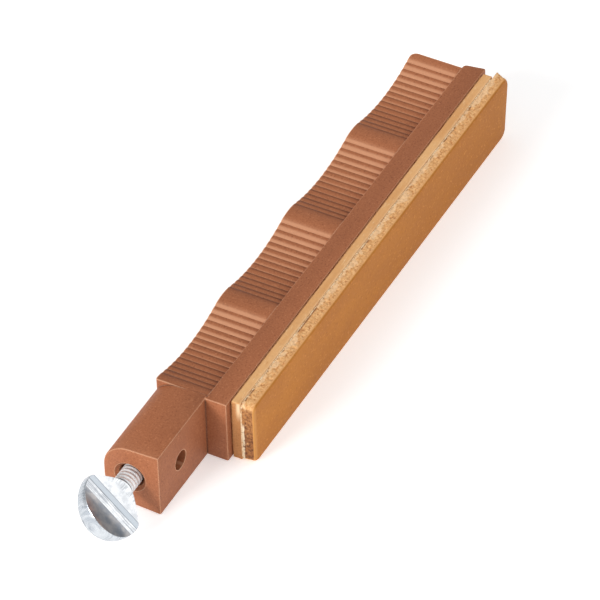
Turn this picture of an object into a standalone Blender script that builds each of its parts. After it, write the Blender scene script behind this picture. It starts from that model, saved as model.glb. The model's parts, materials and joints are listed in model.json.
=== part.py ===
"""Leather strop for a guided-rod knife sharpener.

Lengths are in metres. In the drawing frame +X runs along the strop away from the thumb screw, the
leather faces -Y, the finger grip is at +Y and +Z is up across the width. X is zero at the neck's end
face, Y is zero on the neck's flat face and Z is zero at mid width. An empty carries every piece, and
moves the bottom centre of the whole object's bounding box to the world's origin.
"""

import math

import bmesh
import bpy
from mathutils import Matrix

MM = 0.001

# Holder: flange plate
NECK_LENGTH = 17.4 * MM
FLANGE_LENGTH = 102.6 * MM
FLANGE_END_SLANT = 0.7 * MM
FLANGE_THICKNESS = 4.25 * MM
HALF_WIDTH = 6.9 * MM
FLANGE_CORNER = 0.9 * MM
MOULDED_EDGE = 0.3 * MM
SEAM_OVERLAP = 0.04 * MM
FLANGE_ROOT = 0.6 * MM
CUT_OVERRUN = 1.0 * MM
CUTTER_LENGTH = 20.0 * MM

# Holder: neck, a block with a flat face and a rounded back
NECK_DEPTH = 11.3 * MM
NECK_CORNER = 5.5 * MM
NECK_DRAFT = math.radians(2.6)

# Holder: finger grip with ribbed scallops on both edges
GRIP_MARGIN = 0.8 * MM
GRIP_LENGTH = 100.9 * MM
GRIP_DEPTH = 10.5 * MM
GRIP_CREST = 6.74 * MM
GRIP_CORNER = 1.3 * MM
GRIP_SPARE = 0.5 * MM
GRIP_STEP_Y = 2.0 * MM
SCALLOP_COUNT = 4
SCALLOP_MARGIN = 0.45 * MM
SCALLOP_PITCH = 25.4 * MM
SCALLOP_RADIUS = 34.0 * MM
RIB_COUNT = 13
RIB_PITCH = 1.506 * MM
RIB_HEIGHT = 0.16 * MM
RIB_STEPS = 4

# Holder: screw bore and guide-rod hole
SCREW_Y = 5.95 * MM
BORE_RADIUS = 2.55 * MM
BORE_DEPTH = 10.6 * MM
BORE_CHAMFER = 0.65 * MM
ROD_HOLE_RADIUS = 1.95 * MM
ROD_HOLE_X = 7.85 * MM

# Leather layers and the glue between them
LAYER_GAP = 0.1 * MM
GLUE_THICKNESS = 0.1 * MM
LEATHER_START = 1.35 * MM
BACKING_THICKNESS = 1.7 * MM
BACKING_LENGTH = 100.6 * MM
BACKING_CORNER = 0.4 * MM
STROP_FACE_Y = -9.0 * MM
STROP_LENGTH = 102.5 * MM
STROP_END_SLANT = 1.6 * MM
STROP_CORNER = 1.8 * MM
STROP_EDGE = 0.7 * MM
GLUE_INSET = 0.5 * MM
GLUE_END_INSET = 1.5 * MM

# Thumb screw, size 8-32
THREAD_RADIUS = 2.083 * MM
SHANK_TIP_X = 5.4 * MM
SHANK_ROOT_X = -2.75 * MM
SHANK_CHAMFER = 0.5 * MM
HEAD_ROOT_X = -3.05 * MM
HEAD_RADIUS = 6.45 * MM
HEAD_CENTRE_X = -7.43 * MM
HEAD_CONE_SLOPE = 1.2
HEAD_LEAN = 0.049
HEAD_BLEND = 0.25 * MM
DISH_RADIUS = 16.0 * MM
DISH_OFFSET = 17.0 * MM
DISH_CENTRE_X = -8.63 * MM
HEAD_EDGE = 0.35 * MM
HEAD_TURN = math.radians(46.3)

FLANGE_END = NECK_LENGTH + FLANGE_LENGTH
GRIP_START = NECK_LENGTH + GRIP_MARGIN
GRIP_END = GRIP_START + GRIP_LENGTH
SCALLOP_START = NECK_LENGTH + SCALLOP_MARGIN
LEATHER_X = NECK_LENGTH + LEATHER_START
HEAD_END = HEAD_CENTRE_X - HEAD_RADIUS


def clear_scene():
    """Remove whatever the scene holds."""
    for obj in list(bpy.data.objects):
        bpy.data.objects.remove(obj, do_unlink=True)


def new_collection(name):
    """Make a collection under the scene's own."""
    collection = bpy.data.collections.new(name)
    bpy.context.scene.collection.children.link(collection)
    return collection


def new_material(name, colour, roughness, metallic):
    """Make a plain Principled material."""
    material = bpy.data.materials.new(name)
    material.use_nodes = True
    shader = material.node_tree.nodes["Principled BSDF"]
    shader.inputs["Base Color"].default_value = (*colour, 1.0)
    shader.inputs["Roughness"].default_value = roughness
    shader.inputs["Metallic"].default_value = metallic
    return material


def mesh_from(obj, name, collection):
    """Replace an evaluated object by a welded mesh object of the same place."""
    bpy.context.view_layer.update()
    evaluated = obj.evaluated_get(bpy.context.evaluated_depsgraph_get())
    mesh = bpy.data.meshes.new_from_object(evaluated)
    mesh.transform(obj.matrix_world)
    bm = bmesh.new()
    bm.from_mesh(mesh)
    bmesh.ops.remove_doubles(bm, verts=bm.verts, dist=0.001 * MM)
    bmesh.ops.dissolve_limit(bm, angle_limit=math.radians(0.05), verts=bm.verts, edges=bm.edges)
    bmesh.ops.recalc_face_normals(bm, faces=bm.faces)
    bm.to_mesh(mesh)
    bm.free()
    mesh.name = name
    result = bpy.data.objects.new(name, mesh)
    collection.objects.link(result)
    bpy.data.objects.remove(obj, do_unlink=True)
    return result


def plate(name, outline, thickness, collection, rotation=(0.0, 0.0, 0.0), location=(0.0, 0.0, 0.0)):
    """A flat plate: a closed outline, thickened both ways from its own plane."""
    curve = bpy.data.curves.new(f"{name} outline", "CURVE")
    curve.dimensions = "2D"
    curve.fill_mode = "BOTH"
    curve.extrude = 0.5 * thickness
    spline = curve.splines.new("POLY")
    spline.points.add(len(outline) - 1)
    for point, (u, v) in zip(spline.points, outline):
        point.co = (u, v, 0.0, 1.0)
    spline.use_cyclic_u = True
    flat = bpy.data.objects.new(f"{name} outline", curve)
    flat.rotation_euler = rotation
    flat.location = location
    collection.objects.link(flat)
    return mesh_from(flat, name, collection)


def cylinder(name, radius, length, collection, rotation, location, tip_radius=None, sides=48):
    """A cylinder or cone frustum with its middle at the given place."""
    mesh = bpy.data.meshes.new(name)
    bm = bmesh.new()
    bmesh.ops.create_cone(
        bm,
        cap_ends=True,
        segments=sides,
        radius1=radius,
        radius2=radius if tip_radius is None else tip_radius,
        depth=length,
    )
    bm.to_mesh(mesh)
    bm.free()
    obj = bpy.data.objects.new(name, mesh)
    obj.rotation_euler = rotation
    obj.location = location
    collection.objects.link(obj)
    return obj


def as_cutter(obj):
    """Keep a helper shape out of the model."""
    obj.hide_render = True
    obj.display_type = "WIRE"
    return obj


def add_boolean(obj, other, operation):
    """Add an exact Boolean that follows the other object."""
    modifier = obj.modifiers.new(f"{operation.lower()} {other.name}", "BOOLEAN")
    modifier.operation = operation
    modifier.solver = "EXACT"
    modifier.object = as_cutter(other)


def add_bevel(obj, width, segments, angle=35.0):
    """Round every edge sharper than the angle."""
    modifier = obj.modifiers.new("rounded edges", "BEVEL")
    modifier.width = width
    modifier.segments = segments
    modifier.limit_method = "ANGLE"
    modifier.angle_limit = math.radians(angle)


def shade(obj, angle=30.0):
    """Smooth shading that keeps the sharp edges."""
    obj.data.shade_smooth()
    obj.data.set_sharp_from_angle(angle=math.radians(angle))


def arc(centre, radius, start, stop, steps):
    """Points along an arc, angles in radians."""
    points = []
    for step in range(steps + 1):
        angle = start + (stop - start) * step / steps
        points.append((centre[0] + radius * math.cos(angle), centre[1] + radius * math.sin(angle)))
    return points


def rounded_corner(corner, before, after, radius, steps):
    """Points of a fillet at a corner between the directions towards its two neighbours."""
    to_before = (before[0] - corner[0], before[1] - corner[1])
    to_after = (after[0] - corner[0], after[1] - corner[1])
    length_before = math.hypot(*to_before)
    length_after = math.hypot(*to_after)
    a = (to_before[0] / length_before, to_before[1] / length_before)
    b = (to_after[0] / length_after, to_after[1] / length_after)
    half = 0.5 * math.acos(a[0] * b[0] + a[1] * b[1])
    reach = radius / math.tan(half)
    bisector = (a[0] + b[0], a[1] + b[1])
    scale = radius / math.sin(half) / math.hypot(*bisector)
    centre = (corner[0] + bisector[0] * scale, corner[1] + bisector[1] * scale)
    start = (corner[0] + a[0] * reach, corner[1] + a[1] * reach)
    stop = (corner[0] + b[0] * reach, corner[1] + b[1] * reach)
    first = math.atan2(start[1] - centre[1], start[0] - centre[0])
    last = math.atan2(stop[1] - centre[1], stop[0] - centre[0])
    turn = (last - first + math.pi) % (2.0 * math.pi) - math.pi
    return arc(centre, radius, first, first + turn, steps)


def rounded_outline(corners, radii, steps):
    """A closed outline whose corners are rounded, a radius of zero leaves one sharp."""
    points = []
    for index, corner in enumerate(corners):
        before = corners[index - 1]
        after = corners[(index + 1) % len(corners)]
        if radii[index] > 0.0:
            points.extend(rounded_corner(corner, before, after, radii[index], steps))
        else:
            points.append(corner)
    return points


def neck_outline():
    """Half of the D section after the other: flat face at Y zero, drafted sides, rounded back."""
    centre_y = NECK_DEPTH - NECK_CORNER
    side_at_arc = HALF_WIDTH - centre_y * math.tan(NECK_DRAFT)
    centre_z = side_at_arc - NECK_CORNER
    upper = [(0.0, HALF_WIDTH)]
    upper += arc((centre_y, centre_z), NECK_CORNER, math.pi / 2, 0.0, 10)
    lower = [(y, -z) for y, z in reversed(upper)]
    return upper + lower


def edge_height(x):
    """Half height of the grip at a place along it, ribs and the grooves between them included."""
    ribbed_half = 0.5 * RIB_COUNT * RIB_PITCH
    hump_half = 0.5 * SCALLOP_PITCH - ribbed_half
    edge_angle = math.asin(ribbed_half / SCALLOP_RADIUS)
    hump_radius = hump_half / math.sin(edge_angle)
    depth = (SCALLOP_RADIUS + hump_radius) * (1.0 - math.cos(edge_angle))
    from_hump = (x - SCALLOP_START) % SCALLOP_PITCH
    from_middle = abs(from_hump - 0.5 * SCALLOP_PITCH)
    if from_middle >= ribbed_half:
        across = 0.5 * SCALLOP_PITCH - from_middle
        surface = GRIP_CREST - hump_radius + math.sqrt(hump_radius**2 - across**2)
        from_rib_top = max(1.0 - 2.0 * (from_middle - ribbed_half) / RIB_PITCH, 0.0)
    else:
        surface = GRIP_CREST - depth + SCALLOP_RADIUS - math.sqrt(SCALLOP_RADIUS**2 - from_middle**2)
        from_rib_top = 2.0 * ((from_hump - hump_half) / RIB_PITCH % 1.0) - 1.0
    return surface - RIB_HEIGHT * from_rib_top**2


def grip_edge():
    """Points (x, half height) along one edge of the grip, a little longer than the grip itself."""
    ribbed_half = 0.5 * RIB_COUNT * RIB_PITCH
    hump_half = 0.5 * SCALLOP_PITCH - ribbed_half
    shoulder = 0.5 * RIB_PITCH
    hump_offsets = [0.5 * shoulder, shoulder]
    hump_offsets.append(0.5 * (shoulder + hump_half))
    offsets = [-0.5 * SCALLOP_PITCH]
    offsets += [-ribbed_half - offset for offset in reversed(hump_offsets)]
    offsets += [-ribbed_half + RIB_PITCH * step / RIB_STEPS for step in range(RIB_COUNT * RIB_STEPS + 1)]
    offsets += [ribbed_half + offset for offset in hump_offsets]
    first = GRIP_START - GRIP_SPARE
    last = GRIP_END + GRIP_SPARE
    places = [first]
    for scallop in range(SCALLOP_COUNT):
        middle = SCALLOP_START + (scallop + 0.5) * SCALLOP_PITCH
        places += [middle + offset for offset in offsets if first < middle + offset < last]
    places.append(last)
    return [(x, edge_height(x)) for x in places]


def build_holder(parts, cutters, material):
    """The moulded holder: flange, neck and grip in one piece, with its two holes."""
    flange_corners = [
        (NECK_LENGTH, -FLANGE_THICKNESS),
        (FLANGE_END + FLANGE_END_SLANT, -FLANGE_THICKNESS),
        (FLANGE_END, SEAM_OVERLAP),
        (GRIP_START, SEAM_OVERLAP),
        (NECK_LENGTH, FLANGE_ROOT),
    ]
    outline = rounded_outline(flange_corners, [0.0, 0.0, FLANGE_CORNER, 0.0, 0.0], 4)
    holder = plate("holder", outline, 2.0 * HALF_WIDTH, parts)
    add_bevel(holder, MOULDED_EDGE, 2)

    stand_up = (math.pi / 2, 0.0, math.pi / 2)
    neck_end = GRIP_START + MOULDED_EDGE
    neck = plate("neck", neck_outline(), neck_end, cutters, stand_up, (0.5 * neck_end, 0.0, 0.0))
    add_bevel(neck, MOULDED_EDGE, 2)
    add_boolean(holder, neck, "UNION")

    upper = grip_edge()
    lower = [(x, -z) for x, z in reversed(upper)]
    grip_front = -0.5 * FLANGE_THICKNESS
    grip_back = GRIP_DEPTH + GRIP_SPARE
    grip_middle = (0.0, 0.5 * (grip_front + grip_back), 0.0)
    on_edge = (math.pi / 2, 0.0, 0.0)
    grip = plate("grip", upper + lower, grip_back - grip_front, cutters, on_edge, grip_middle)
    plan_corners = [
        (GRIP_START - CUT_OVERRUN, grip_front - CUT_OVERRUN),
        (GRIP_END, grip_front - CUT_OVERRUN),
        (GRIP_END, GRIP_DEPTH),
        (GRIP_START, GRIP_DEPTH),
        (GRIP_START, GRIP_STEP_Y),
        (GRIP_START - CUT_OVERRUN, GRIP_STEP_Y),
    ]
    plan_radii = [0.0, 0.0, GRIP_CORNER, MOULDED_EDGE, 0.0, 0.0]
    plan = plate("grip plan", rounded_outline(plan_corners, plan_radii, 5), CUTTER_LENGTH, cutters)
    add_boolean(grip, plan, "INTERSECT")
    add_boolean(holder, grip, "UNION")

    along_x = (0.0, math.pi / 2, 0.0)
    along_y = (math.pi / 2, 0.0, 0.0)
    bore_length = BORE_DEPTH + CUT_OVERRUN
    bore_middle = (0.5 * (BORE_DEPTH - CUT_OVERRUN), SCREW_Y, 0.0)
    bore = cylinder("screw bore", BORE_RADIUS, bore_length, cutters, along_x, bore_middle)
    add_boolean(holder, bore, "DIFFERENCE")
    mouth = cylinder(
        "bore mouth",
        BORE_RADIUS + 2.0 * BORE_CHAMFER,
        2.0 * BORE_CHAMFER,
        cutters,
        along_x,
        (0.0, SCREW_Y, 0.0),
        tip_radius=BORE_RADIUS,
    )
    add_boolean(holder, mouth, "DIFFERENCE")
    rod_hole = cylinder(
        "rod hole",
        ROD_HOLE_RADIUS,
        NECK_DEPTH + 2.0 * CUT_OVERRUN,
        cutters,
        along_y,
        (ROD_HOLE_X, 0.5 * NECK_DEPTH, 0.0),
        sides=40,
    )
    add_boolean(holder, rod_hole, "DIFFERENCE")
    holder.data.materials.append(material)
    return holder


def layer_outline(length, slant, corner):
    """Outline of a leather layer in the X and Z directions, its far end cut off square or aslant."""
    start = LEATHER_X
    end = LEATHER_X + length
    corners = [(start, -HALF_WIDTH), (end - slant, -HALF_WIDTH), (end, HALF_WIDTH), (start, HALF_WIDTH)]
    return rounded_outline(corners, [corner] * 4, 4)


def build_layer(name, outline, near_y, far_y, edge, parts, material):
    """One flat layer between two depths, with its outer edges rounded."""
    thickness = near_y - far_y
    middle = (0.0, 0.5 * (near_y + far_y), 0.0)
    layer = plate(name, outline, thickness, parts, (math.pi / 2, 0.0, 0.0), middle)
    if edge > 0.0:
        add_bevel(layer, edge, 2)
    layer.data.materials.append(material)
    return layer


def build_leather(parts, backing_material, strop_material, glue_material):
    """Two leather layers, each on a thin film of glue."""
    depth = -FLANGE_THICKNESS - LAYER_GAP
    backing_outline = layer_outline(BACKING_LENGTH, 0.0, BACKING_CORNER)
    strop_outline = layer_outline(STROP_LENGTH, STROP_END_SLANT, STROP_CORNER)
    strop_end = max(x for x, _ in strop_outline)
    glue_start = LEATHER_X + GLUE_INSET
    glue_end = LEATHER_X + BACKING_LENGTH - GLUE_END_INSET
    glue_half = HALF_WIDTH - GLUE_INSET
    glue_corners = [
        (glue_start, -glue_half),
        (glue_end, -glue_half),
        (glue_end, glue_half),
        (glue_start, glue_half),
    ]
    glue_outline = rounded_outline(glue_corners, [STROP_CORNER] * 4, 4)

    layers = []
    glue_back = depth - GLUE_THICKNESS
    layers.append(build_layer("glue_on_holder", glue_outline, depth, glue_back, 0.0, parts, glue_material))
    backing_front = glue_back - LAYER_GAP
    backing_back = backing_front - BACKING_THICKNESS
    layers.append(build_layer("leather_backing", backing_outline, backing_front, backing_back, 0.0, parts,
                              backing_material))
    film_front = backing_back - LAYER_GAP
    film_back = film_front - GLUE_THICKNESS
    layers.append(build_layer("glue_between_layers", glue_outline, film_front, film_back, 0.0, parts,
                              glue_material))
    strop_front = film_back - LAYER_GAP
    layers.append(build_layer("leather_strop", strop_outline, strop_front, STROP_FACE_Y, STROP_EDGE, parts,
                              strop_material))
    return layers, strop_end


def turned(name, profile, collection, location, sides=48):
    """A solid turned about the X axis from (x, radius) points that run from the tip outwards."""
    mesh = bpy.data.meshes.new(name)
    bm = bmesh.new()
    previous = None
    for x, radius in profile:
        vertex = bm.verts.new((radius, 0.0, x))
        if previous is not None:
            bm.edges.new((previous, vertex))
        previous = vertex
    bm.to_mesh(mesh)
    bm.free()
    obj = bpy.data.objects.new(f"{name} profile", mesh)
    collection.objects.link(obj)
    screw = obj.modifiers.new("turned", "SCREW")
    screw.axis = "Z"
    screw.steps = sides
    screw.render_steps = sides
    screw.use_merge_vertices = True
    screw.merge_threshold = 0.001 * MM
    result = mesh_from(obj, name, collection)
    result.data.transform(Matrix.Rotation(math.pi / 2, 4, "Y"))
    result.location = location
    return result


def build_shank(parts, material):
    """The thumb screw's threaded shank, at the thread's outer diameter."""
    profile = [
        (SHANK_TIP_X, 0.0),
        (SHANK_TIP_X, THREAD_RADIUS - SHANK_CHAMFER),
        (SHANK_TIP_X - SHANK_CHAMFER, THREAD_RADIUS),
        (SHANK_ROOT_X, THREAD_RADIUS),
        (SHANK_ROOT_X, 0.0),
    ]
    shank = turned("screw_shank", profile, parts, (0.0, SCREW_Y, 0.0), 40)
    shank.data.materials.append(material)
    return shank


def head_radius_at(x):
    """Radius of the turned head blank: a cone from the shank that blends into a ball."""
    cone = THREAD_RADIUS + HEAD_CONE_SLOPE * (HEAD_ROOT_X - x)
    ball = math.sqrt(max(HEAD_RADIUS**2 - (x - HEAD_CENTRE_X) ** 2, 0.0))
    lower = min(cone, ball)
    spread = abs(cone - ball)
    return lower - HEAD_BLEND * math.log1p(math.exp(-spread / HEAD_BLEND))


def build_head(parts, cutters, material):
    """The spade head: a turned blank that leans a little, with a shallow dish cut into each side."""
    profile = [(HEAD_ROOT_X, 0.0)]
    cone_steps = 9
    for step in range(cone_steps + 1):
        x = HEAD_ROOT_X + (HEAD_CENTRE_X - HEAD_ROOT_X) * step / cone_steps
        profile.append((x, head_radius_at(x)))
    ball_steps = 12
    for step in range(1, ball_steps):
        angle = 0.5 * math.pi * (1.0 + step / ball_steps)
        profile.append((HEAD_CENTRE_X + HEAD_RADIUS * math.cos(angle), HEAD_RADIUS * math.sin(angle)))
    profile.append((HEAD_END, 0.0))
    head = turned("screw_head", profile, parts, (0.0, SCREW_Y, 0.0), 56)
    for side in (-1, 1):
        dish = cylinder(
            f"dish {side}",
            DISH_RADIUS,
            CUTTER_LENGTH,
            cutters,
            (0.0, 0.0, 0.0),
            (DISH_CENTRE_X, side * DISH_OFFSET, 0.0),
            sides=160,
        )
        dish.parent = head
        add_boolean(head, dish, "DIFFERENCE")
    lean = Matrix.Identity(4)
    lean[2][0] = HEAD_LEAN
    lean[2][3] = -HEAD_LEAN * HEAD_ROOT_X
    head.data.transform(lean)
    add_bevel(head, HEAD_EDGE, 2, 40.0)
    head.rotation_euler = (-HEAD_TURN, 0.0, 0.0)
    head.data.materials.append(material)
    return head


def build():
    """Build every piece and stand the object on its long edge over the world's origin."""
    clear_scene()
    parts = new_collection("leather_strop")
    cutters = new_collection("cutters")

    plastic = new_material("brown_plastic", (0.376, 0.127, 0.061), 0.55, 0.0)
    backing_leather = new_material("light_leather", (0.76, 0.45, 0.19), 0.8, 0.0)
    strop_leather = new_material("tan_leather", (0.50, 0.21, 0.055), 0.7, 0.0)
    glue = new_material("dried_glue", (0.72, 0.62, 0.48), 0.5, 0.0)
    plated_steel = new_material("plated_steel", (0.76, 0.77, 0.79), 0.22, 1.0)

    holder = build_holder(parts, cutters, plastic)
    layers, strop_end = build_leather(parts, backing_leather, strop_leather, glue)
    shank = build_shank(parts, plated_steel)
    head = build_head(parts, cutters, plated_steel)

    frame = bpy.data.objects.new("strop_frame", None)
    parts.objects.link(frame)
    middle_x = 0.5 * (HEAD_END + max(FLANGE_END + FLANGE_END_SLANT, strop_end))
    frame.location = (-middle_x, -0.5 * (STROP_FACE_Y + NECK_DEPTH), HALF_WIDTH)
    helpers = [obj for obj in cutters.objects if obj.parent is None]
    for obj in [holder, *layers, shank, head, *helpers]:
        obj.parent = frame
    for obj in (holder, *layers, shank, head):
        shade(obj)


build()
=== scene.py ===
"""Looks of the leather strop: detailed meshes, materials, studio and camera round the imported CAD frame.

Lengths are in metres in the row frame: +X along the strop away from the thumb screw, the leather faces
-Y, the finger grip is at +Y and the strop stands on its long edge on the floor at Z zero.
"""
import json
import math

import bmesh
import bpy
from mathutils import Matrix, Vector, noise


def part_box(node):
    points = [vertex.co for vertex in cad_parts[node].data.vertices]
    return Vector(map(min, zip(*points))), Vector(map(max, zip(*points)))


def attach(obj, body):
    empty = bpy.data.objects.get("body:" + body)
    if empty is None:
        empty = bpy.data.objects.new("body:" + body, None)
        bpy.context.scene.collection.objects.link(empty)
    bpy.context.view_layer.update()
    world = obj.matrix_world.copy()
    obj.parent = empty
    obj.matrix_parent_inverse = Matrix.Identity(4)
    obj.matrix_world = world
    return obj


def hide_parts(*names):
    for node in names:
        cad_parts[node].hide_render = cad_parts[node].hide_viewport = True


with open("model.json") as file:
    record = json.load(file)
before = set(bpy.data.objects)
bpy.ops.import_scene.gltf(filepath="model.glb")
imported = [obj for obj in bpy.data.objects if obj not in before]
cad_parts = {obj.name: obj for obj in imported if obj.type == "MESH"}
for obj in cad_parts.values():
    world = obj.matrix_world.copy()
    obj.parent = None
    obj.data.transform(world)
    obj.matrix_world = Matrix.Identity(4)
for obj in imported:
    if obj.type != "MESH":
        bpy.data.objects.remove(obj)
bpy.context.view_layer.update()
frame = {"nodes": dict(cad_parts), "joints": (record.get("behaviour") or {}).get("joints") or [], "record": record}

MM = 0.001

# Places and sizes that come from the frame
holder_low, holder_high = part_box("holder")
backing_low, backing_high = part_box("leather_backing")
strop_low, strop_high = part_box("leather_strop")
holder_film_low, holder_film_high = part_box("glue_on_holder")
layer_film_low, layer_film_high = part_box("glue_between_layers")
shank_low, shank_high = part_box("screw_shank")
head_low, head_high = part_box("screw_head")
screw_joint = next(j for j in frame["joints"] if j["name"] == "screw_turn")
screw_y, screw_z = screw_joint["pos_m"][1:]
screw_lead = 2.0 * math.pi / frame["record"]["behaviour"]["couplings"][0]["ratio"]

# Holder's shading
SHARP_FOLD = math.radians(27.0)
WELD_DISTANCE = 0.002 * MM

# Leather layers and glue
EDGE_STEP = 0.2 * MM
CORNER_STEPS = 10
BACK_ROUND_STEPS = 4
FRONT_ROUND_STEPS = 6
LUMP_SIZE = 0.9 * MM
PIT_SIZE = 0.42 * MM
STROP_END_SLANT = 1.6 * MM
STROP_FRONT_ROUND = 0.55 * MM
STROP_BACK_ROUND = 0.12 * MM
BACKING_CORNER = 0.4 * MM
BACKING_ROUND = 0.1 * MM
FACE_MARGIN = 2.6 * MM
STROP_BACK_CORNERS = [0.9 * MM, 1.6 * MM, 0.4 * MM, 1.2 * MM]
STROP_FRONT_CORNERS = [1.8 * MM, 2.0 * MM, 2.2 * MM, 1.8 * MM]
BACKING_ROUGHNESS = 0.05 * MM
STROP_ROUGHNESS = 0.16 * MM
GLUE_CORNER = 1.2 * MM
GLUE_MARGIN = 3.0 * MM
GLUE_SWELL = 0.1 * MM
GLUE_RAG_SIZE = 1.1 * MM
GLUE_GAP_SIZE = 2.6 * MM
GLUE_BULGE = 0.08 * MM
GLUE_LEAST = 0.02 * MM
HOLDER_SEAM_DEPTH = 0.16 * MM
LAYER_SEAM_DEPTH = 0.09 * MM

# Thumb screw
THREAD_SIDES = 72
THREAD_STEPS = 12
THREAD_DEPTH = 0.15 * MM
SHANK_CHAMFER = 0.5 * MM
HEAD_RADIUS = 6.45 * MM
HEAD_CONE_SLOPE = 1.2
HEAD_LEAN = 0.049
HEAD_BLEND = 0.25 * MM
DISH_RADIUS = 16.0 * MM
DISH_OFFSET = 17.0 * MM
DISH_SHIFT = -1.2 * MM
HEAD_EDGE_BLEND = 0.1 * MM
HEAD_TURN = math.radians(46.3)
HEAD_STATIONS = 300
HEAD_FACE_STEPS = 72
HEAD_RIM_STEPS = 14
BAND_NEAR = 3.47 * MM
BAND_FAR = 4.55 * MM
ZONE_END = 6.33 * MM
GROOVE_WIDTH = 0.09 * MM
GROOVE_DEPTH = 0.02 * MM
NECK_STUB_RADIUS = 1.72 * MM
NECK_STUB_LENGTH = 0.36 * MM
SHANK_RADIUS = 0.5 * (shank_high.y - shank_low.y)
HEAD_ROOT = head_high.x
HEAD_CENTRE = head_low.x + HEAD_RADIUS
DISH_CENTRE = HEAD_CENTRE + DISH_SHIFT

# Camera
CAMERA_TARGET = Vector((0.86, -0.5, 6.9)) * MM
CAMERA_AZIMUTH = math.radians(-60.75)
CAMERA_ELEVATION = math.radians(42.62)
CAMERA_ROLL = math.radians(-1.94)
CAMERA_DISTANCE = 1.0726
CAMERA_LENS = 351.45

# Studio
FLOOR_HALF_SIZE = 4.0
FLOOR_GLOW = 0.35
ROOM_STRENGTH = 0.55
ROOM_DIM_BELOW = 0.335
ROOM_WHITE_ABOVE = 0.35
KEY_PLACE = (-3.4, 1.5, 1.5)
KEY_SIZE = (1.8, 1.8)
KEY_POWER = 142.0
PANEL_PLACE = (0.264, -1.36, 0.8)
PANEL_SIZE = (2.5, 1.4)
PANEL_POWER = 10.0


# ---------------------------------------------------------------- node helpers

def srgb(red, green, blue):
    """A display colour, 0 to 255 a channel, as linear RGBA."""
    def linear(value):
        share = value / 255.0
        return share / 12.92 if share <= 0.04045 else ((share + 0.055) / 1.055) ** 2.4
    return (linear(red), linear(green), linear(blue), 1.0)


def add_node(tree, kind, settings=None, **inputs):
    """Add a node, set its properties and fill or link its inputs by name (an underscore is a space)."""
    node = tree.nodes.new(kind)
    for key, value in (settings or {}).items():
        setattr(node, key, value)
    for key, value in inputs.items():
        socket = node.inputs[key.replace("_", " ")]
        if isinstance(value, bpy.types.NodeSocket):
            tree.links.new(value, socket)
        else:
            socket.default_value = value
    return node


def join(tree, value, socket):
    """Link an output, or set a constant, on a socket."""
    if isinstance(value, bpy.types.NodeSocket):
        tree.links.new(value, socket)
    else:
        socket.default_value = value


def mix(tree, factor, first, second):
    """Mix two colours."""
    node = add_node(tree, "ShaderNodeMix", {"data_type": "RGBA"})
    join(tree, factor, node.inputs[0])
    join(tree, first, node.inputs[6])
    join(tree, second, node.inputs[7])
    return node.outputs[2]


def math_node(tree, operation, first, second):
    """One arithmetic step."""
    node = add_node(tree, "ShaderNodeMath", {"operation": operation})
    join(tree, first, node.inputs[0])
    join(tree, second, node.inputs[1])
    return node.outputs[0]


def ramp(tree, factor, low, high):
    """Zero below low, one above high, smooth between."""
    node = add_node(tree, "ShaderNodeMapRange", {"interpolation_type": "SMOOTHSTEP"})
    join(tree, factor, node.inputs["Value"])
    node.inputs["From Min"].default_value = low
    node.inputs["From Max"].default_value = high
    return node.outputs["Result"]


def scaled(tree, factor, low, high):
    """A 0 to 1 value spread between two others."""
    node = add_node(tree, "ShaderNodeMapRange")
    join(tree, factor, node.inputs["Value"])
    node.inputs["To Min"].default_value = low
    node.inputs["To Max"].default_value = high
    return node.outputs["Result"]


def between(tree, value, low, high, soft):
    """One between low and high, falling to zero over the soft distance."""
    above = ramp(tree, value, low - soft, low)
    below = ramp(tree, value, high + soft, high)
    return math_node(tree, "MULTIPLY", above, below)


def coordinates(tree, stretch=(1.0, 1.0, 1.0)):
    """Object coordinates in metres, stretched along chosen axes."""
    source = add_node(tree, "ShaderNodeTexCoord")
    mapping = add_node(tree, "ShaderNodeMapping", Vector=source.outputs["Object"])
    mapping.inputs["Scale"].default_value = stretch
    return mapping.outputs["Vector"]


def grain(tree, place, size, detail, roughness=0.55):
    """Noise whose blotches are about the given size across."""
    node = add_node(
        tree, "ShaderNodeTexNoise", Vector=place, Scale=1.0 / size, Detail=detail, Roughness=roughness,
    )
    return node.outputs["Fac"]


def cells(tree, place, size):
    """Distance pattern of cells about the given size across."""
    node = add_node(tree, "ShaderNodeTexVoronoi", Vector=place, Scale=1.0 / size)
    return node.outputs["Distance"]


def split(tree, vector):
    """The three parts of a vector."""
    return add_node(tree, "ShaderNodeSeparateXYZ", Vector=vector).outputs


def bump(tree, height, depth, strength, normal=None):
    """A bump of the given depth from a 0 to 1 height."""
    node = add_node(tree, "ShaderNodeBump", Height=height, Strength=strength, Distance=depth)
    if normal is not None:
        tree.links.new(normal, node.inputs["Normal"])
    return node.outputs["Normal"]


def new_shader(name):
    """A Principled material, its node tree and its shader node."""
    material = bpy.data.materials.new(name)
    material.use_nodes = True
    return material, material.node_tree, material.node_tree.nodes["Principled BSDF"]


def edge_mask(tree, radius):
    """One on convex and concave edges narrower than the radius, zero on flats."""
    rounded = add_node(tree, "ShaderNodeBevel", {"samples": 8}, Radius=radius)
    flat = add_node(tree, "ShaderNodeNewGeometry")
    dot = add_node(tree, "ShaderNodeVectorMath", {"operation": "DOT_PRODUCT"})
    tree.links.new(rounded.outputs["Normal"], dot.inputs[0])
    tree.links.new(flat.outputs["Normal"], dot.inputs[1])
    return ramp(tree, math_node(tree, "SUBTRACT", 1.0, dot.outputs["Value"]), 0.004, 0.07)


# ---------------------------------------------------------------- materials

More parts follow.
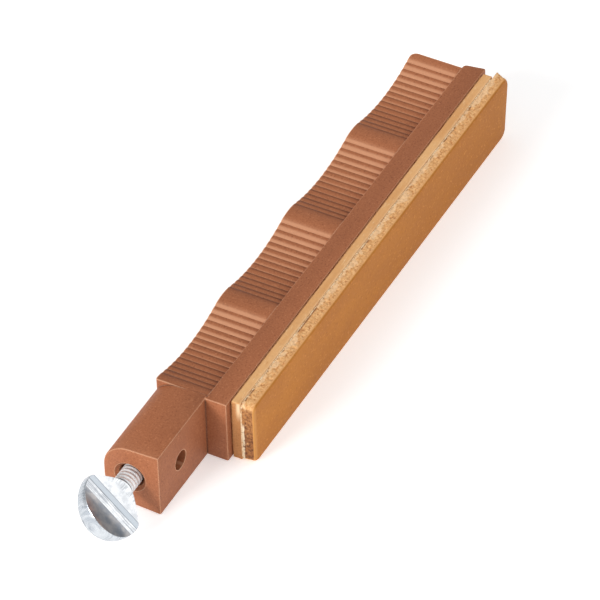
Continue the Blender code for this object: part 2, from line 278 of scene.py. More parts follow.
def plastic_material():
    """Brown moulded plastic with a fine matt grain; its paler edges are a painted highlight, upward faces carry
    painted light and shade by their tilt, hollows get painted shade, and the far end is painted paler against the
    key light's fall-off.
    """
    material, tree, shader = new_shader("moulded_brown_plastic")
    place = coordinates(tree)
    fine = grain(tree, place, 0.16 * MM, 2.0)
    speckle = grain(tree, place, 0.33 * MM, 3.0, 0.7)
    cloud = grain(tree, place, 6.0 * MM, 2.0)
    # Painted light: the plastic is painted paler towards the far end to make up for the key light falling off
    # along the holder.
    far = ramp(tree, split(tree, place)[0], holder_low.x, holder_high.x)
    base = mix(tree, ramp(tree, cloud, 0.3, 0.7), srgb(157, 94, 60), srgb(163, 99, 64))
    base = mix(tree, math_node(tree, "MULTIPLY", far, 0.6), base, srgb(174, 107, 70))
    base = mix(tree, ramp(tree, speckle, 0.54, 0.76), base, srgb(190, 124, 86))
    base = mix(tree, ramp(tree, speckle, 0.46, 0.28), base, srgb(128, 71, 43))
    # Painted highlight: edges narrower than the bevel radius are painted paler, standing for light caught on their
    # rounding.
    edge = math_node(tree, "MULTIPLY", edge_mask(tree, 0.36 * MM), scaled(tree, fine, 0.4, 1.2))
    base = mix(tree, edge, base, srgb(224, 172, 136))
    # Painted light and shade: upward faces tilted towards the thumb screw's end, where the key light is, are
    # painted paler, and those tilted away darker.
    slope = split(tree, add_node(tree, "ShaderNodeNewGeometry").outputs["Normal"])
    on_edge = ramp(tree, slope[2], 0.8, 0.9)
    painted_lit_slope = math_node(tree, "MULTIPLY", on_edge, ramp(tree, slope[0], -0.12, -0.42))
    painted_shaded_slope = math_node(tree, "MULTIPLY", on_edge, ramp(tree, slope[0], 0.1, 0.45))
    base = mix(tree, math_node(tree, "MULTIPLY", painted_lit_slope, 0.6), base, srgb(214, 158, 122))
    base = mix(tree, math_node(tree, "MULTIPLY", painted_shaded_slope, 0.6), base, srgb(112, 60, 36))
    near_only = {"samples": 8, "only_local": True}
    hollow = add_node(tree, "ShaderNodeAmbientOcclusion", near_only, Distance=0.5 * MM)
    shade = ramp(tree, hollow.outputs["AO"], 0.9, 0.45)
    join(tree, mix(tree, shade, base, srgb(96, 48, 26)), shader.inputs["Base Color"])
    join(tree, scaled(tree, speckle, 0.5, 0.68), shader.inputs["Roughness"])
    shader.inputs["Specular IOR Level"].default_value = 0.3
    rounded = add_node(tree, "ShaderNodeBevel", {"samples": 8}, Radius=0.08 * MM)
    surface = bump(tree, fine, 0.03 * MM, 0.8, rounded.outputs["Normal"])
    surface = bump(tree, speckle, 0.05 * MM, 0.4, surface)
    tree.links.new(surface, shader.inputs["Normal"])
    return material


def backing_material():
    """Light backing leather: smooth pale cut edges and a browner end."""
    material, tree, shader = new_shader("light_backing_leather")
    place = coordinates(tree)
    along = coordinates(tree, (0.25, 1.0, 1.0))
    fibre = grain(tree, along, 0.35 * MM, 4.0, 0.65)
    pore = grain(tree, place, 0.22 * MM, 3.0, 0.6)
    cloud = grain(tree, along, 2.5 * MM, 2.0)
    base = mix(tree, ramp(tree, cloud, 0.3, 0.7), srgb(214, 154, 92), srgb(226, 172, 112))
    base = mix(tree, ramp(tree, fibre, 0.55, 0.78), base, srgb(240, 200, 150))
    base = mix(tree, ramp(tree, fibre, 0.42, 0.22), base, srgb(204, 140, 78))
    x, y, z = split(tree, place)
    wander = math_node(tree, "MULTIPLY", math_node(tree, "SUBTRACT", fibre, 0.5), 1.2 * MM)
    torn = ramp(tree, math_node(tree, "ADD", y, wander), backing_low.y + 0.4 * MM, backing_low.y)
    base = mix(tree, math_node(tree, "MULTIPLY", torn, 0.5), base, srgb(238, 198, 150))
    end = ramp(tree, x, backing_low.x + 0.22 * MM, backing_low.x + 0.04 * MM)
    high_outer = math_node(tree, "MULTIPLY", ramp(tree, z, 9.0 * MM, 12.5 * MM),
                           ramp(tree, y, backing_low.y + 1.0 * MM, backing_low.y + 0.4 * MM))
    end_base = mix(tree, ramp(tree, pore, 0.35, 0.65), srgb(166, 106, 54), srgb(190, 130, 72))
    end_base = mix(tree, high_outer, end_base, srgb(228, 194, 152))
    join(tree, mix(tree, end, base, end_base), shader.inputs["Base Color"])
    join(tree, scaled(tree, fibre, 0.62, 0.9), shader.inputs["Roughness"])
    shader.inputs["Sheen Weight"].default_value = 0.15
    surface = bump(tree, fibre, 0.06 * MM, 0.6)
    tree.links.new(bump(tree, pore, 0.04 * MM, 0.5, surface), shader.inputs["Normal"])
    return material


def strop_edge_material():
    """Cut edge of the strop leather: coarse, speckled fibres."""
    material, tree, shader = new_shader("strop_leather_cut_edge")
    place = coordinates(tree)
    coarse = grain(tree, place, 0.5 * MM, 5.0, 0.75)
    speck = cells(tree, place, 0.42 * MM)
    fine = grain(tree, place, 0.17 * MM, 2.0)
    base = mix(tree, ramp(tree, coarse, 0.35, 0.65), srgb(214, 152, 90), srgb(240, 190, 132))
    base = mix(tree, ramp(tree, coarse, 0.40, 0.28), base, srgb(172, 108, 58))
    base = mix(tree, ramp(tree, speck, 0.55, 0.9), base, srgb(190, 124, 68))
    x, y, z = split(tree, place)
    drift = grain(tree, place, 3.2 * MM, 3.0, 0.7)
    wander = math_node(tree, "MULTIPLY", math_node(tree, "SUBTRACT", drift, 0.5), 5.0 * MM)
    torn = ramp(tree, math_node(tree, "ADD", y, wander), strop_high.y - 0.7 * MM, strop_high.y - 0.2 * MM)
    base = mix(tree, math_node(tree, "MULTIPLY", torn, 0.65), base, srgb(246, 206, 160))
    # Painted shade: dark patches where the seam next to the backing gapes open.
    seam = ramp(tree, y, strop_high.y - 0.35 * MM, strop_high.y - 0.1 * MM)
    seam_gap_painted_shade = math_node(tree, "MULTIPLY", seam, ramp(tree, drift, 0.5, 0.4))
    base = mix(tree, seam_gap_painted_shade, base, srgb(140, 84, 44))
    border = ramp(tree, y, strop_low.y + 0.75 * MM, strop_low.y + 0.3 * MM)
    base = mix(tree, math_node(tree, "MULTIPLY", border, 0.75), base, srgb(224, 164, 102))
    end = ramp(tree, x, strop_low.x + 0.35 * MM, strop_low.x + 0.05 * MM)
    dark = mix(tree, ramp(tree, coarse, 0.36, 0.62), srgb(96, 52, 24), srgb(174, 112, 60))
    light = mix(tree, ramp(tree, coarse, 0.38, 0.6), srgb(122, 72, 34), srgb(180, 122, 68))
    end_base = mix(tree, ramp(tree, z, 6.0 * MM, 9.5 * MM), dark, light)
    smear = math_node(tree, "MULTIPLY", ramp(tree, z, 9.5 * MM, 8.0 * MM),
                      ramp(tree, math_node(tree, "ADD", y, math_node(tree, "MULTIPLY", wander, 0.12)),
                           strop_high.y - 0.5 * MM, strop_high.y - 0.3 * MM))
    end_base = mix(tree, smear, end_base, mix(tree, ramp(tree, coarse, 0.36, 0.5),
                                              srgb(120, 74, 42), srgb(240, 220, 186)))
    # Painted shade: dark spots in the glue line on the near end stand for the shade inside its voids.
    void_painted_shade = math_node(tree, "MULTIPLY", ramp(tree, cells(tree, place, 1.1 * MM), 0.42, 0.3),
                      between(tree, y, strop_high.y - 0.85 * MM, strop_high.y - 0.45 * MM, 0.1 * MM))
    end_base = mix(tree, void_painted_shade, end_base, srgb(108, 60, 32))
    join(tree, mix(tree, end, base, end_base), shader.inputs["Base Color"])
    join(tree, scaled(tree, coarse, 0.75, 0.95), shader.inputs["Roughness"])
    surface = bump(tree, coarse, 0.14 * MM, 0.8)
    tree.links.new(bump(tree, fine, 0.05 * MM, 0.6, surface), shader.inputs["Normal"])
    return material


def strop_face_material():
    """Smooth orange-tan working face whose paler rounded edges are a painted highlight."""
    material, tree, shader = new_shader("strop_leather_face")
    place = coordinates(tree)
    pore = cells(tree, place, 0.3 * MM)
    tone = grain(tree, coordinates(tree, (0.35, 1.0, 1.0)), 5.0 * MM, 3.0)
    fleck = grain(tree, place, 0.5 * MM, 3.0, 0.6)
    base = mix(tree, ramp(tree, tone, 0.3, 0.7), srgb(177, 109, 38), srgb(186, 118, 46))
    x, y, _ = split(tree, place)
    far = ramp(tree, x, -20.0 * MM, 60.0 * MM)
    base = mix(tree, math_node(tree, "MULTIPLY", far, 0.4), base, srgb(160, 96, 32))
    base = mix(tree, ramp(tree, fleck, 0.56, 0.76), base, srgb(206, 138, 66))
    base = mix(tree, ramp(tree, fleck, 0.42, 0.24), base, srgb(158, 94, 34))
    # Painted highlight along the rounded edges of the face.
    rounded = ramp(tree, y, strop_low.y + 0.05 * MM, strop_low.y + 0.45 * MM)
    base = mix(tree, rounded, base, srgb(228, 166, 98))
    near_end = ramp(tree, x, strop_low.x + 1.5 * MM, strop_low.x + 0.4 * MM)
    base = mix(tree, math_node(tree, "MULTIPLY", near_end, 0.6), base, srgb(216, 154, 88))
    join(tree, base, shader.inputs["Base Color"])
    join(tree, scaled(tree, tone, 0.42, 0.6), shader.inputs["Roughness"])
    shader.inputs["Specular IOR Level"].default_value = 0.12
    surface = bump(tree, pore, 0.02 * MM, 0.35)
    tree.links.new(bump(tree, tone, 0.15 * MM, 0.3, surface), shader.inputs["Normal"])
    return material


def glue_material(name, dark, middle, light):
    """Dried glue with torn leather fibres in it."""
    material, tree, shader = new_shader(name)
    place = coordinates(tree)
    fibre = grain(tree, place, 0.3 * MM, 4.0, 0.7)
    base = mix(tree, ramp(tree, fibre, 0.4, 0.62), middle, light)
    base = mix(tree, ramp(tree, fibre, 0.40, 0.28), base, dark)
    join(tree, base, shader.inputs["Base Color"])
    join(tree, scaled(tree, fibre, 0.65, 0.9), shader.inputs["Roughness"])
    shader.inputs["Specular IOR Level"].default_value = 0.2
    tree.links.new(bump(tree, fibre, 0.08 * MM, 0.8), shader.inputs["Normal"])
    return material


def plated_thread_material():
    """Blunt, slightly dull plating on the thread."""
    material, tree, shader = new_shader("plated_thread")
    place = coordinates(tree)
    blotch = grain(tree, place, 0.9 * MM, 3.0)
    fine = grain(tree, place, 0.3 * MM, 2.0)
    tint = mix(tree, ramp(tree, blotch, 0.3, 0.7), srgb(226, 228, 230), srgb(246, 246, 246))
    join(tree, tint, shader.inputs["Base Color"])
    shader.inputs["Metallic"].default_value = 0.4
    join(tree, scaled(tree, blotch, 0.4, 0.6), shader.inputs["Roughness"])
    tree.links.new(bump(tree, fine, 0.01 * MM, 0.5), shader.inputs["Normal"])
    return material


def head_coordinates(tree, stretch):
    """Coordinates in the head's own frame, X along the screw and Z across the spade, stretched."""
    source = add_node(tree, "ShaderNodeTexCoord")
    inverse = {"vector_type": "TEXTURE"}
    turned = add_node(tree, "ShaderNodeMapping", inverse, Vector=source.outputs["Object"])
    turned.inputs["Location"].default_value = (0.0, screw_y, screw_z)
    turned.inputs["Rotation"].default_value = (-HEAD_TURN, 0.0, 0.0)
    mapping = add_node(tree, "ShaderNodeMapping", Vector=turned.outputs["Vector"])
    mapping.inputs["Scale"].default_value = stretch
    return mapping.outputs["Vector"]


def plated_rim_material():
    """Duller plating on the turned rim, with a darker stain and fine turning marks."""
    material, tree, shader = new_shader("plated_rim")
    blotch = grain(tree, head_coordinates(tree, (1.0, 1.0, 1.0)), 2.2 * MM, 4.0, 0.6)
    turning = grain(tree, head_coordinates(tree, (1.0, 0.05, 0.05)), 0.2 * MM, 2.0)
    tint = mix(tree, ramp(tree, turning, 0.35, 0.65), srgb(174, 180, 187), srgb(206, 210, 214))
    tint = mix(tree, ramp(tree, blotch, 0.60, 0.70), tint, srgb(146, 152, 160))
    join(tree, tint, shader.inputs["Base Color"])
    shader.inputs["Metallic"].default_value = 0.75
    join(tree, scaled(tree, blotch, 0.18, 0.34), shader.inputs["Roughness"])
    tree.links.new(bump(tree, turning, 0.01 * MM, 0.5), shader.inputs["Normal"])
    return material


def plated_head_material():
    """Bright plating: forming marks across the head, a rougher band beside them with painted shade in its border
    grooves, scuffs by the neck, and a duller outer zone partly painted as dark reflection.
    """
    material, tree, shader = new_shader("plated_head")
    place = head_coordinates(tree, (1.0, 1.0, 1.0))
    x = split(tree, place)[0]
    lines = grain(tree, head_coordinates(tree, (1.0, 1.0, 0.015)), 0.16 * MM, 3.0, 0.7)
    crossing = grain(tree, head_coordinates(tree, (0.08, 0.5, 1.0)), 0.4 * MM, 1.0)
    blotch = grain(tree, place, 1.6 * MM, 3.0)
    zone = between(tree, x, HEAD_ROOT - ZONE_END, HEAD_ROOT - BAND_FAR, 0.1 * MM)
    # Outer zone: a duller stamped finish, and its darker grey tint and darker cloudy blotches are partly a painted
    # dark reflection.
    stamped_and_dark_reflection = ramp(tree, x, HEAD_ROOT - ZONE_END + 0.05 * MM, HEAD_ROOT - ZONE_END - 0.05 * MM)
    band = between(tree, x, HEAD_ROOT - BAND_FAR, HEAD_ROOT - BAND_NEAR, 0.05 * MM)
    by_neck = between(tree, x, HEAD_ROOT - 1.3 * MM, HEAD_ROOT - 0.4 * MM, 0.3 * MM)
    scuff = math_node(tree, "MULTIPLY", by_neck, ramp(tree, crossing, 0.5, 0.62))
    tint = mix(tree, ramp(tree, blotch, 0.35, 0.7), srgb(194, 197, 201), srgb(226, 228, 230))
    tint = mix(tree, band, tint, srgb(180, 187, 194))
    tint = mix(tree, stamped_and_dark_reflection, tint, srgb(188, 184, 182))
    cloudy = math_node(tree, "MULTIPLY", stamped_and_dark_reflection, ramp(tree, blotch, 0.3, 0.7))
    tint = mix(tree, cloudy, tint, srgb(142, 148, 156))
    marks = math_node(tree, "MULTIPLY", zone, ramp(tree, lines, 0.50, 0.40))
    tint = mix(tree, math_node(tree, "MULTIPLY", marks, 0.85), tint, srgb(128, 134, 142))
    # Painted shade: thin dark lines in the two shallow grooves at the band's edges.
    groove_painted_shade = math_node(tree, "ADD", between(tree, x, HEAD_ROOT - BAND_NEAR, HEAD_ROOT - BAND_NEAR, 0.09 * MM),
                     between(tree, x, HEAD_ROOT - BAND_FAR, HEAD_ROOT - BAND_FAR, 0.09 * MM))
    tint = mix(tree, groove_painted_shade, tint, srgb(120, 128, 136))
    tint = mix(tree, math_node(tree, "MULTIPLY", scuff, 0.6), tint, srgb(160, 164, 168))
    join(tree, tint, shader.inputs["Base Color"])
    join(tree, scaled(tree, stamped_and_dark_reflection, 1.0, 0.6), shader.inputs["Metallic"])
    duller = math_node(tree, "ADD", scaled(tree, band, 0.0, 0.12), scaled(tree, stamped_and_dark_reflection, 0.0, 0.08))
    rough = math_node(tree, "ADD", scaled(tree, blotch, 0.06, 0.14), duller)
    join(tree, rough, shader.inputs["Roughness"])
    depth = math_node(tree, "MULTIPLY", math_node(tree, "ADD", zone, 0.1), lines)
    surface = bump(tree, depth, 0.012 * MM, 0.5)
    tree.links.new(bump(tree, blotch, 0.02 * MM, 0.3, surface), shader.inputs["Normal"])
    return material


# ---------------------------------------------------------------- mesh helpers

def finish_piece(name, bm, body, replaced, materials, sharp=50.0):
    """Turn a bmesh into a named piece on a body, standing for CAD nodes."""
    bmesh.ops.recalc_face_normals(bm, faces=bm.faces)
    mesh = bpy.data.meshes.new(name)
    bm.to_mesh(mesh)
    bm.free()
    mesh.shade_smooth()
    mesh.set_sharp_from_angle(angle=math.radians(sharp))
    piece = bpy.data.objects.new(name, mesh)
    bpy.context.scene.collection.objects.link(piece)
    for material in materials:
        mesh.materials.append(material)
    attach(piece, body)
    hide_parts(*replaced)
    return piece


def skin(bm, rings):
    """Quads between closed rings of vertices that all have the same count."""
    count = len(rings[0])
    faces = []
    for ring, after in zip(rings, rings[1:]):
        for index in range(count):
            other = (index + 1) % count
            faces.append(bm.faces.new((ring[index], ring[other], after[other], after[index])))
    return faces


def plan_outline(low, high, slant, radii, step):
    """Closed plan of a layer in X and Z as (x, z, outward x, outward z), anticlockwise seen from -Y.

    The four corners run near low, far low, far high, near high. The far end is cut aslant."""
    corners = [(low.x, low.z), (high.x - slant, low.z), (high.x, high.z), (low.x, high.z)]
    points = []
    for index, corner in enumerate(corners):
        before = Vector(corners[index - 1])
        after = Vector(corners[(index + 1) % 4])
        here = Vector(corner)
        radius = radii[index]
        to_before = (before - here).normalized()
        to_after = (after - here).normalized()
        half = 0.5 * to_before.angle(to_after)
        reach = radius / math.tan(half)
        centre = here + (to_before + to_after).normalized() * (radius / math.sin(half))
        first = here + to_before * reach - centre
        sweep = math.pi - 2.0 * half
        start = math.atan2(first.y, first.x)
        for corner_step in range(CORNER_STEPS + 1):
            angle = start + sweep * corner_step / CORNER_STEPS
            outward = Vector((math.cos(angle), math.sin(angle)))
            spot = centre + outward * radius
            points.append((spot.x, spot.y, outward.x, outward.y))
        next_half = 0.5 * (here - after).angle(Vector(corners[(index + 2) % 4]) - after)
        next_reach = radii[(index + 1) % 4] / math.tan(next_half)
        line_start = here + to_after * reach
        line_end = after - to_after * next_reach
        pieces = int((after - here).length / step)
        outward = Vector((to_after.y, -to_after.x))
        for line_step in range(1, pieces):
            spot = line_start.lerp(line_end, line_step / pieces)
            points.append((spot.x, spot.y, outward.x, outward.y))
    return points


def edge_profile(back, front, back_round, front_round, rows):
    """Rows of (inset, y, share of the cut edge's roughness) from the back face to the front face."""
    profile = []
    for step in range(BACK_ROUND_STEPS):
        angle = 0.5 * math.pi * step / BACK_ROUND_STEPS
        inset = back_round * (1.0 - math.sin(angle))
        profile.append((inset, back - back_round * (1.0 - math.cos(angle)), 0.3))
    flat_back = back - back_round
    flat_front = front + front_round
    for row in range(rows + 1):
        share = row / rows
        strength = min(1.0, 0.45 + 3.0 * min(share, 1.0 - share))
        profile.append((0.0, flat_back + (flat_front - flat_back) * share, strength))
    for step in range(1, FRONT_ROUND_STEPS + 1):
        angle = 0.5 * math.pi * step / FRONT_ROUND_STEPS
        fade = 0.3 * (1.0 - step / FRONT_ROUND_STEPS)
        inset = front_round * (1.0 - math.cos(angle))
        profile.append((inset, flat_front - front_round * math.sin(angle), fade))
    return profile


def inset_spot(low, high, slant, margin, x, z):
    """The nearest place in a layer's plan that stays a margin inside its edges."""
    z = min(max(z, low.z + margin), high.z - margin)
    far = high.x - slant * (high.z - z) / (high.z - low.z)
    return min(max(x, low.x + margin), far - margin), z


def close_layer(bm, rings, low, high, slant, margin, outline, heights):
    """Close a layer's two faces with a strip inside the edge and one flat face in the middle."""
    inner = []
    for y in heights:
        spots = [inset_spot(low, high, slant, margin, x, z) for x, z, *_ in outline]
        inner.append([bm.verts.new((x, y, z)) for x, z in spots])
    skin(bm, [inner[0], rings[0]])
    skin(bm, [rings[-1], inner[1]])
    bm.faces.new(inner[1])
    bm.faces.new(list(reversed(inner[0])))
    bmesh.ops.remove_doubles(bm, verts=bm.verts, dist=0.001 * MM)


def leather_layer(name, node, low, high, slant, radii, rounds, rows, roughness, seed, materials):
    """A cut leather layer: its edge is a fibrous strip, its two faces are flat with a smooth border.

    radii holds the four corner radii at the back and the four at the front."""
    bm = bmesh.new()
    profile = edge_profile(high.y, low.y, rounds[0], rounds[1], rows)
    offset = Vector((seed, 2.3 * seed, 4.1 * seed))
    rings = []
    for inset, y, strength in profile:
        ring = []
        forward = (high.y - y) / (high.y - low.y)
        now = [back + (front - back) * forward for back, front in zip(*radii)]
        outline = plan_outline(low, high, slant, now, EDGE_STEP)
        for x, z, out_x, out_z in outline:
            place = Vector((x, y, z))
            lumps = noise.fractal(place / LUMP_SIZE + offset, 0.8, 2.2, 3)
            pits = max(noise.noise(place / PIT_SIZE + offset) - 0.1, 0.0)
            depth = roughness * strength * (0.45 + 0.45 * lumps + 1.6 * pits)
            pull = inset + max(depth, 0.0)
            ring.append(bm.verts.new((x - out_x * pull, y, z - out_z * pull)))
        rings.append(ring)
    edge_faces = skin(bm, rings)
    front_from = len(profile) - FRONT_ROUND_STEPS + 1
    count = len(outline)
    for index, face in enumerate(edge_faces):
        face.material_index = 0 if index // count >= front_from else len(materials) - 1
    close_layer(bm, rings, low, high, slant, FACE_MARGIN, outline, (high.y, low.y))
    return finish_piece(name, bm, "strop_block", [node], materials)


def glue_bead(name, node, low, high, outer_low, outer_high, reach, seed, material):
    """An uneven film of glue that comes close to the leather's edge, with gaps and drips."""
    bm = bmesh.new()
    outline = plan_outline(outer_low, outer_high, 0.0, [GLUE_CORNER] * 4, EDGE_STEP)
    middle = 0.5 * (low.y + high.y)
    half = 0.5 * (high.y - low.y)
    offset = Vector((seed, 5.1 * seed, 1.7 * seed))
    rings = []
    for y_share in (1.0, 0.5, 0.0, -0.5, -1.0):
        ring = []
        for x, z, out_x, out_z in outline:
            spot = Vector((x, 0.0, z))
            ragged = noise.fractal(spot / GLUE_RAG_SIZE + offset, 0.7, 2.3, 4)
            gap = max(noise.noise(spot / GLUE_GAP_SIZE + offset) - 0.15, 0.0)
            pull = reach * (0.9 - 0.9 * ragged + 3.0 * gap) + GLUE_BULGE * y_share**2
            pull = max(pull, GLUE_LEAST)
            ring.append(bm.verts.new((x - out_x * pull, middle + half * y_share, z - out_z * pull)))
        rings.append(ring)
    skin(bm, rings)
    heights = (middle + half, middle - half)
    close_layer(bm, rings, outer_low, outer_high, 0.0, GLUE_MARGIN, outline, heights)
    return finish_piece(name, bm, "strop_block", [node], [material])


def thread_height(phase):
    """Depth share below the crest at a phase of one pitch: a rounded crest and a rounded root."""
    from_root = abs(phase - 0.5) * 2.0
    return 0.5 + 0.5 * math.cos(math.pi * min(max((from_root - 0.08) / 0.8, 0.0), 1.0))


def build_shank(material):
    """The screw's shank with a real right-hand thread and a chamfered tip."""
    bm = bmesh.new()
    root = shank_low.x
    tip = shank_high.x
    row_length = screw_lead / THREAD_STEPS
    row_count = int(math.ceil((tip - root) / row_length)) + 2 * THREAD_STEPS
    grid = []
    for row in range(row_count + 1):
        ring = []
        for side in range(THREAD_SIDES):
            along = root - screw_lead + row * row_length + screw_lead * side / THREAD_SIDES
            x = min(max(along, root), tip)
            phase = ((x - root) / screw_lead - side / THREAD_SIDES) % 1.0
            r = SHANK_RADIUS - THREAD_DEPTH * thread_height(phase)
            r = min(r, SHANK_RADIUS - SHANK_CHAMFER + (tip - x))
            angle = 2.0 * math.pi * side / THREAD_SIDES
            ring.append(bm.verts.new((x, screw_y + r * math.cos(angle), screw_z + r * math.sin(angle))))
        grid.append(ring)
    for row, after in zip(range(row_count), range(1, row_count + 1)):
        for side in range(THREAD_SIDES - 1):
            bm.faces.new((grid[row][side], grid[row][side + 1], grid[after][side + 1], grid[after][side]))
        if after + THREAD_STEPS <= row_count:
            next_row = grid[row + THREAD_STEPS][0]
            next_after = grid[after + THREAD_STEPS][0]
            bm.faces.new((grid[row][-1], next_row, next_after, grid[after][-1]))
    bmesh.ops.remove_doubles(bm, verts=bm.verts, dist=0.0005 * MM)
    loose = [v for v in bm.verts if not v.link_faces]
    bmesh.ops.delete(bm, geom=loose, context="VERTS")
    bmesh.ops.holes_fill(bm, edges=bm.edges, sides=0)
    return finish_piece("threaded_shank", bm, "shank", ["screw_shank"], [material])


def smooth_least(first, second, spread):
    """The smaller of two lengths, blended where they meet."""
    share = max(min(0.5 + 0.5 * (second - first) / spread, 1.0), 0.0)
    return second * (1.0 - share) + first * share - spread * share * (1.0 - share)


def blank_radius(x):
    """Radius of the head's turned blank: a ball that runs into a cone towards the shank."""
    cone = SHANK_RADIUS + HEAD_CONE_SLOPE * (HEAD_ROOT - x)
    ball = math.sqrt(max(HEAD_RADIUS**2 - (x - HEAD_CENTRE) ** 2, 0.0))
    if x < HEAD_CENTRE:
        return ball
    spread = abs(cone - ball)
    return min(cone, ball) - HEAD_BLEND * math.log1p(math.exp(-spread / HEAD_BLEND))


def groove_depth(x):
    """Depth of the two fine grooves that border the matt band."""
    depth = 0.0
    for distance in (BAND_NEAR, BAND_FAR):
        depth += GROOVE_DEPTH * math.exp(-(((HEAD_ROOT - x - distance) / GROOVE_WIDTH) ** 2))
    return depth


def head_section(x):
    """Outline of the head across the screw, as (thickness, width) points: face, rim, face, rim."""
    blank = blank_radius(x)
    half = DISH_OFFSET - math.sqrt(DISH_RADIUS**2 - (x - DISH_CENTRE) ** 2) - groove_depth(x)
    corner = math.asin(min(half / blank, 1.0))
    width = blank * math.cos(corner)
    angles = []
    for step in range(HEAD_FACE_STEPS + 1):
        across = width * math.cos(math.pi * step / HEAD_FACE_STEPS)
        angles.append(math.atan2(max(math.sin(corner) * blank, 1e-7), across))
    for step in range(1, HEAD_RIM_STEPS):
        angles.append(math.pi - corner + 2.0 * corner * step / HEAD_RIM_STEPS)
    for step in range(HEAD_FACE_STEPS + 1):
        angles.append(angles[step] + math.pi)
    for step in range(1, HEAD_RIM_STEPS):
        angles.append(-corner + 2.0 * corner * step / HEAD_RIM_STEPS)
    points = []
    for angle in angles:
        reach = smooth_least(blank, half / max(abs(math.sin(angle)), 1e-6), HEAD_EDGE_BLEND)
        points.append((reach * math.sin(angle), reach * math.cos(angle)))
    return points


def head_rings(bm):
    """Rings of vertices along the head: two for its short neck, then one for each station."""
    rings = []
    for stub_x in (HEAD_ROOT + NECK_STUB_LENGTH, HEAD_ROOT + 0.02 * MM):
        ring = []
        for t, w in head_section(HEAD_ROOT):
            angle = math.atan2(t, w)
            across = NECK_STUB_RADIUS * math.cos(angle)
            ring.append(bm.verts.new((stub_x, NECK_STUB_RADIUS * math.sin(angle), across)))
        rings.append(ring)
    for station in range(HEAD_STATIONS):
        turn = math.pi * station / HEAD_STATIONS
        x = 0.5 * (HEAD_ROOT + head_low.x) + 0.5 * (HEAD_ROOT - head_low.x) * math.cos(turn)
        shift = HEAD_LEAN * (x - HEAD_ROOT)
        rings.append([bm.verts.new((x, t, w + shift)) for t, w in head_section(x)])
    return rings


def build_head(materials):
    """The spade head: a turned blank with a shallow dish on each side, and its short neck."""
    bm = bmesh.new()
    rings = head_rings(bm)
    column_count = len(rings[0])
    for index, face in enumerate(skin(bm, rings)):
        column = index % column_count % (column_count // 2)
        on_turned_rim = column >= HEAD_FACE_STEPS and index // column_count > HEAD_STATIONS // 3
        face.material_index = 1 if on_turned_rim else 0
    bm.faces.new(rings[0])
    end = bm.verts.new((head_low.x, 0.0, HEAD_LEAN * (head_low.x - HEAD_ROOT)))
    last = rings[-1]
    for index in range(len(last)):
        bm.faces.new((last[index], last[(index + 1) % len(last)], end))
    bmesh.ops.remove_doubles(bm, verts=bm.verts, dist=0.001 * MM)
    place = Matrix.Translation((0.0, screw_y, screw_z)) @ Matrix.Rotation(-HEAD_TURN, 4, "X")
    bmesh.ops.transform(bm, matrix=place, verts=bm.verts)
    return finish_piece("spade_head", bm, "head", ["screw_head"], materials, 80.0)


def smooth_holder(material):
    """Keep the CAD holder, shade its rounded stretches smooth and give it its plastic."""
    node = frame["nodes"]["holder"]
    node.material_slots[0].material = material
    group = bpy.data.node_groups.new("smooth_by_angle", "GeometryNodeTree")
    group.interface.new_socket("Geometry", in_out="INPUT", socket_type="NodeSocketGeometry")
    group.interface.new_socket("Geometry", in_out="OUTPUT", socket_type="NodeSocketGeometry")
    start = group.nodes.new("NodeGroupInput")
    welded = group.nodes.new("GeometryNodeMergeByDistance")
    welded.inputs["Distance"].default_value = WELD_DISTANCE
    bare = group.nodes.new("GeometryNodeRemoveAttribute")
    bare.inputs["Name"].default_value = "custom_normal"
    smooth = group.nodes.new("GeometryNodeSetShadeSmooth")
    angle = group.nodes.new("GeometryNodeInputMeshEdgeAngle")
    above = group.nodes.new("FunctionNodeCompare")
    above.data_type = "FLOAT"
    above.operation = "GREATER_THAN"
    above.inputs[1].default_value = SHARP_FOLD
    sharp = group.nodes.new("GeometryNodeSetShadeSmooth")
    sharp.domain = "EDGE"
    sharp.inputs["Shade Smooth"].default_value = False
    end = group.nodes.new("NodeGroupOutput")
    link = group.links.new
    link(start.outputs[0], welded.inputs["Geometry"])
    link(welded.outputs["Geometry"], bare.inputs["Geometry"])
    link(bare.outputs["Geometry"], smooth.inputs["Geometry"])
    link(smooth.outputs["Geometry"], sharp.inputs["Geometry"])
    link(angle.outputs["Unsigned Angle"], above.inputs[0])
    link(above.outputs[0], sharp.inputs["Selection"])
    link(sharp.outputs["Geometry"], end.inputs[0])
    modifier = node.modifiers.new("smooth_by_angle", "NODES")
    modifier.node_group = group
    return node


# ---------------------------------------------------------------- studio and camera

def build_floor():
    """A plain pale floor under the strop."""
    bm = bmesh.new()
    bmesh.ops.create_grid(bm, x_segments=1, y_segments=1, size=FLOOR_HALF_SIZE)
    mesh = bpy.data.meshes.new("floor")
    bm.to_mesh(mesh)
    bm.free()
    floor = bpy.data.objects.new("floor", mesh)
    bpy.context.scene.collection.objects.link(floor)
    material, tree, shader = new_shader("pale_floor")
    cloud = grain(tree, coordinates(tree), 0.3, 2.0)
    join(tree, mix(tree, cloud, srgb(250, 250, 250), srgb(255, 255, 255)), shader.inputs["Base Color"])
    shader.inputs["Roughness"].default_value = 0.9
    shader.inputs["Specular IOR Level"].default_value = 0.1
    shader.inputs["Emission Color"].default_value = (1.0, 1.0, 1.0, 1.0)
    shader.inputs["Emission Strength"].default_value = FLOOR_GLOW
    mesh.materials.append(material)
    return floor


def build_light(name, place, size, power):
    """A white rectangular softbox that faces the strop."""
    light = bpy.data.lights.new(name, "AREA")
    light.shape = "RECTANGLE"
    light.size, light.size_y = size
    light.energy = power
    lamp = bpy.data.objects.new(name, light)
    lamp.location = place
    lamp.rotation_euler = (-Vector(place)).to_track_quat("-Z", "Y").to_euler()
    bpy.context.scene.collection.objects.link(lamp)
    return lamp


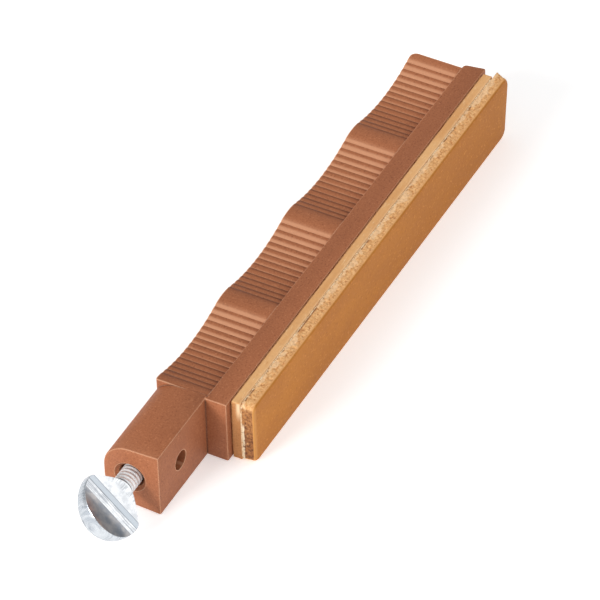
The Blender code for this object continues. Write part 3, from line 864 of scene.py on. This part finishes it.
def build_world():
    """A white room, dimmer from the floor to about twenty degrees above the horizon."""
    world = bpy.data.worlds.new("studio")
    world.use_nodes = True
    bpy.context.scene.world = world
    tree = world.node_tree
    direction = add_node(tree, "ShaderNodeTexCoord").outputs["Generated"]
    height = split(tree, direction)[2]
    lit = ramp(tree, height, ROOM_DIM_BELOW, ROOM_WHITE_ABOVE)
    colour = mix(tree, lit, srgb(165, 172, 180), srgb(255, 255, 255))
    background = tree.nodes["Background"]
    join(tree, colour, background.inputs["Color"])
    background.inputs["Strength"].default_value = ROOM_STRENGTH
    return world


def build_camera():
    """The camera at the photo's viewing angle."""
    camera = bpy.data.cameras.new("camera")
    camera.lens = CAMERA_LENS
    camera.sensor_width = 36.0
    camera.clip_start = 0.01
    camera.clip_end = 50.0
    eye = bpy.data.objects.new("camera", camera)
    bpy.context.scene.collection.objects.link(eye)
    flat = math.cos(CAMERA_ELEVATION)
    back = Vector((
        math.sin(CAMERA_AZIMUTH) * flat,
        -math.cos(CAMERA_AZIMUTH) * flat,
        math.sin(CAMERA_ELEVATION),
    ))
    right = (-back).cross(Vector((0.0, 0.0, 1.0))).normalized()
    up = right.cross(-back)
    turned_right = math.cos(CAMERA_ROLL) * right + math.sin(CAMERA_ROLL) * up
    turned_up = math.cos(CAMERA_ROLL) * up - math.sin(CAMERA_ROLL) * right
    turn = Matrix((turned_right, turned_up, back)).transposed().to_4x4()
    eye.matrix_world = Matrix.Translation(CAMERA_TARGET + back * CAMERA_DISTANCE) @ turn
    bpy.context.scene.camera = eye
    return eye


def build_studio():
    """Camera, floor, room, a soft key from the thumb screw's side and a wide panel before the leather."""
    build_camera()
    build_floor()
    build_world()
    build_light("key", KEY_PLACE, KEY_SIZE, KEY_POWER)
    build_light("panel", PANEL_PLACE, PANEL_SIZE, PANEL_POWER)
    bpy.context.scene.view_settings.view_transform = "Standard"


def build_looks():
    """Every piece and its material."""
    smooth_holder(plastic_material())
    glue = glue_material("dried_glue", srgb(146, 92, 50), srgb(206, 162, 112), srgb(246, 226, 192))
    # The glue in the seam by the holder is painted dark brown, a painted shade for the narrow gap between the
    # holder and the backing.
    seam_glue_painted_shade = glue_material("glue_with_painted_shade", srgb(112, 70, 42), srgb(142, 94, 58), srgb(172, 122, 80))
    backing = backing_material()
    strop = [strop_face_material(), strop_edge_material()]
    backing_radii = ([BACKING_CORNER] * 4, [BACKING_CORNER] * 4)
    strop_radii = (STROP_BACK_CORNERS, STROP_FRONT_CORNERS)
    leather_layer("backing_leather", "leather_backing", backing_low, backing_high, 0.0, backing_radii,
                  (BACKING_ROUND, BACKING_ROUND), 8, BACKING_ROUGHNESS, 3.0, [backing])
    leather_layer("strop_leather", "leather_strop", strop_low, strop_high, STROP_END_SLANT, strop_radii,
                  (STROP_BACK_ROUND, STROP_FRONT_ROUND), 10, STROP_ROUGHNESS, 7.0, strop)
    gap = Vector((0.0, GLUE_SWELL, 0.0))
    glue_bead("glue_seam_holder", "glue_on_holder", holder_film_low - gap, holder_film_high + gap,
              backing_low, backing_high, HOLDER_SEAM_DEPTH, 11.0, seam_glue_painted_shade)
    glue_bead("glue_seam_layers", "glue_between_layers", layer_film_low - gap, layer_film_high + gap,
              backing_low, backing_high, LAYER_SEAM_DEPTH, 13.0, glue)
    build_shank(plated_thread_material())
    build_head([plated_head_material(), plated_rim_material()])


build_looks()
build_studio()
